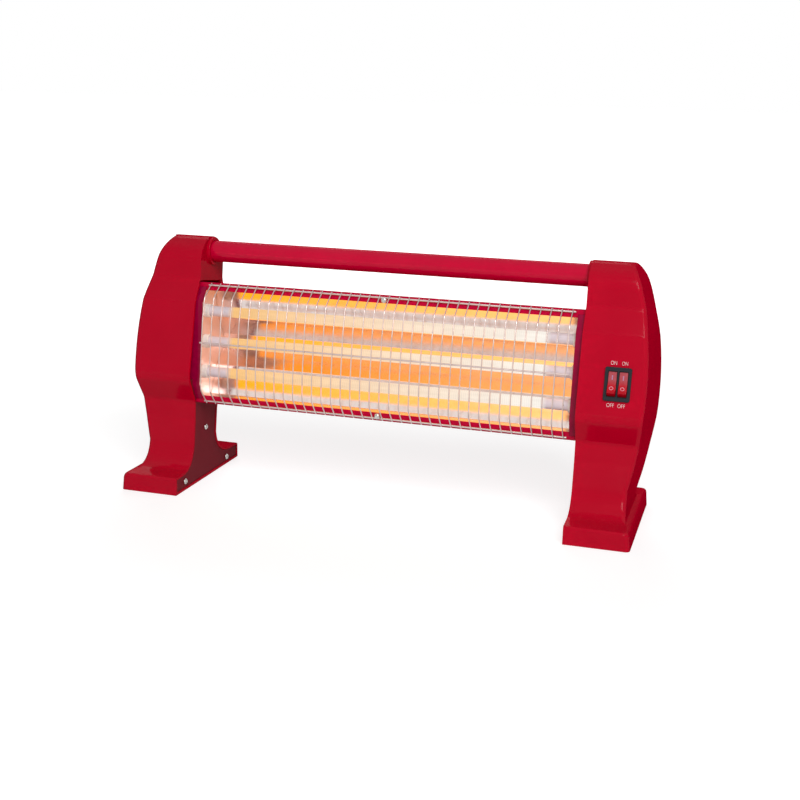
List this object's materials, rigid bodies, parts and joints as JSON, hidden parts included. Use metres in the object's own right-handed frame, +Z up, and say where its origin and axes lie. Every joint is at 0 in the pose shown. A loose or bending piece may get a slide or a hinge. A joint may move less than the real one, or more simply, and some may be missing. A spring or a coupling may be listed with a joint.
{
  "type": "quartz tube heater",
  "caption": "Low free-standing electric heater with quartz tubes in a polished trough behind a wire guard, between two footed end shells joined by a round carrying handle.",
  "frame": {"origin": "on the ground, midway between the two end shells and midway between the toes and the heels of the feet", "axes": "+X along the tubes to the end with the switch, +Y from the front to the back, +Z up"},
  "size_m": [0.541, 0.1532, 0.2569],
  "materials": {
    "shell_red": "glossy deep red",
    "cover_red": "matt dark red",
    "handle_red": "satin red",
    "casing_red": "satin red paint",
    "polished_reflector": "bright polished",
    "bright_steel": "bright zinc",
    "ceramic": "unglazed white",
    "milky_quartz": "milky, fire-polished",
    "coil_wire": "oxidised",
    "rocker_red": "clear red",
    "black_plastic": "fine satin",
    "lead_sleeve": "braided glass sleeve",
    "brass": "plain",
    "grey_plastic": "matt"
  },
  "bodies": {
    "root": {"casing": "casing_red", "cord_gland": "black_plastic", "earth_lead": "lead_sleeve", "gland_nut": "black_plastic", "guard_screw_bottom": "bright_steel", "guard_screw_top": "bright_steel", "handle_tube": "handle_red", "heating_coil_bottom": "coil_wire", "heating_coil_middle": "coil_wire", "heating_coil_top": "coil_wire", "left_bracket_screw_lower": "bright_steel", "left_bracket_screw_upper": "bright_steel", "left_bus_strip": "brass", "left_cap_bottom": "ceramic", "left_cap_middle": "ceramic", "left_cap_top": "ceramic", "left_end_bracket": "casing_red", "left_end_shell": "shell_red", "left_heel_screw": "bright_steel", "left_leg_cover": "cover_red", "left_leg_screw": "bright_steel", "left_reflector_end": "polished_reflector", "left_toe_screw": "bright_steel", "live_lead": "lead_sleeve", "middle_tube_lead": "lead_sleeve", "neutral_lead": "lead_sleeve", "outer_tubes_lead": "lead_sleeve", "quartz_tube_bottom": "milky_quartz", "quartz_tube_middle": "milky_quartz", "quartz_tube_top": "milky_quartz", "reflector": "polished_reflector", "right_bracket_screw_lower": "bright_steel", "right_bracket_screw_upper": "bright_steel", "right_bus_strip": "brass", "right_cap_bottom": "ceramic", "right_cap_middle": "ceramic", "right_cap_top": "ceramic", "right_end_bracket": "casing_red", "right_end_shell": "shell_red", "right_heel_screw": "bright_steel", "right_leg_cover": "cover_red", "right_leg_screw": "bright_steel", "right_reflector_end": "polished_reflector", "right_toe_screw": "bright_steel", "switch_blade_left_load": "brass", "switch_blade_live": "brass", "switch_blade_right_load": "brass", "switch_housing": "black_plastic", "switched_live_lead": "lead_sleeve", "terminal_block": "grey_plastic", "tip_over_switch": "grey_plastic", "wire_guard": "bright_steel"},
    "rocker_left": {"rocker_left": "rocker_red"},
    "rocker_right": {"rocker_right": "rocker_red"}
  },
  "joints": [
    {"name": "rocker_left_tilt", "type": "hinge", "parent": "root", "child": "rocker_left", "pos_m": [0.23215, -0.03459, 0.14884], "axis": [1, 0, 0], "range_deg": [0, 23]},
    {"name": "rocker_right_tilt", "type": "hinge", "parent": "root", "child": "rocker_right", "pos_m": [0.24245, -0.03459, 0.14884], "axis": [1, 0, 0], "range_deg": [0, 23]}
  ]
}
